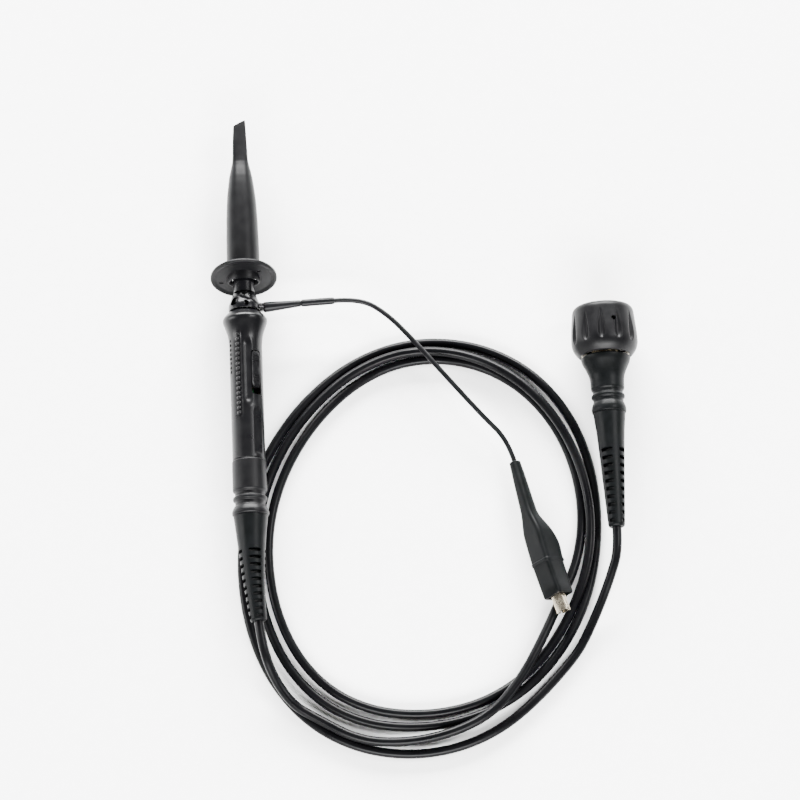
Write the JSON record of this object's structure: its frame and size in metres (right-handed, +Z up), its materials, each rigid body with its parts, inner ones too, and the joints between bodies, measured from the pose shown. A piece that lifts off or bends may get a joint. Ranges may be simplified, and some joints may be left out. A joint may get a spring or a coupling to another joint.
{
  "type": "oscilloscope probe",
  "caption": "Passive oscilloscope probe with sprung hook tip, finger flange, slide switch, ground lead with alligator clip, coiled cable and BNC plug.",
  "frame": {"origin": "under the middle of the probe itself, on the surface it lies on; the cable and what hangs on it lie to the +X side", "axes": "+Y along the probe towards its hook, +Z up"},
  "size_m": [0.1272, 0.1998, 0.02],
  "materials": {
    "black_abs": "fine matt moulded ABS",
    "gloss_abs": "semi-gloss moulded ABS",
    "soft_pvc": "soft grey-black PVC",
    "cable_pvc": "glossy PVC jacket",
    "nickel": "bright nickel plate",
    "black_nickel": "black nickel plate",
    "gold_brass": "gold-flashed brass",
    "spring_steel": "spring steel wire",
    "ptfe": "white PTFE",
    "board": "glass-epoxy board",
    "ceramic": "fired ceramic",
    "silicone": "red silicone"
  },
  "bodies": {
    "probe": {"nose_barrel": "black_nickel", "nose_insulator": "ptfe", "needle_tip": "gold_brass", "handle_shell": "black_abs", "switch_contact": "gold_brass", "attenuator_board": "board", "tip_resistor": "ceramic", "tip_capacitor": "ceramic", "tail_collar": "black_abs", "handle_strain_relief": "soft_pvc", "cable_ferrule": "nickel", "cable_lead_in": "cable_pvc", "cable_coil": "cable_pvc", "cable_lead_out": "cable_pvc", "cable_ends": "cable_pvc", "bnc_body": "nickel", "bnc_insulator": "ptfe", "bnc_center_pin": "gold_brass", "bnc_gasket": "silicone", "bnc_spring_washer": "spring_steel", "bell_housing": "black_abs", "bnc_strain_relief": "soft_pvc", "compensation_board": "board", "trimmer_body": "ceramic"},
    "hook_tip": {"hook_carrier": "gloss_abs", "hook_socket": "gold_brass", "hook_wire": "black_nickel", "hook_spring": "spring_steel"},
    "hook_grip": {"hook_sleeve": "black_abs"},
    "slide_switch": {"attenuation_slider": "black_abs"},
    "ground_lead": {"ground_clip_ring": "black_abs", "lead_root": "soft_pvc", "lead_sleeve": "soft_pvc", "ground_wire": "cable_pvc", "clip_boot": "soft_pvc", "clip_fixed_jaw": "nickel", "clip_pivot_pin": "nickel", "clip_spring": "spring_steel"},
    "clip_jaw": {"clip_moving_jaw": "nickel"},
    "plug_grip": {"fluted_sleeve": "gloss_abs", "coupling_nut": "nickel"},
    "trimmer": {"trimmer_screw": "gold_brass"}
  },
  "joints": [
    {"name": "hook_pull_off", "type": "slide", "parent": "probe", "child": "hook_tip", "axis": [0, 1, 0], "range_m": [0, 0.03]},
    {"name": "hook_retract", "type": "slide", "parent": "hook_tip", "child": "hook_grip", "axis": [0, -1, 0], "range_m": [0, 0.003], "stiffness_N_per_m": 300, "springref_m": -0.004, "deforming": ["hook_spring"]},
    {"name": "attenuation_slide", "type": "slide", "parent": "probe", "child": "slide_switch", "axis": [0, -1, 0], "range_m": [0, 0.002]},
    {"name": "ground_lead_swivel", "type": "hinge", "parent": "probe", "child": "ground_lead", "pos_m": [0, 0.02, 0.0098], "axis": [0, -1, 0], "range_deg": [0, 90]},
    {"name": "clip_open", "type": "hinge", "parent": "ground_lead", "child": "clip_jaw", "pos_m": [0.08784, -0.06341, 0.0061], "axis": [0.7109, 0.218, 0.6687], "range_deg": [0, 7], "stiffness_Nm_per_rad": 0.05, "springref_deg": -28.65, "deforming": ["clip_spring"]},
    {"name": "bnc_turn", "type": "hinge", "parent": "probe", "child": "plug_grip", "pos_m": [0.10721, 0.0078, 0.01005], "axis": [-0.0157, 0.9999, 0], "continuous": true},
    {"name": "trimmer_turn", "type": "hinge", "parent": "probe", "child": "trimmer", "pos_m": [0.10741, -0.0048, 0.00805], "axis": [0, 0, -1], "continuous": true}
  ]
}
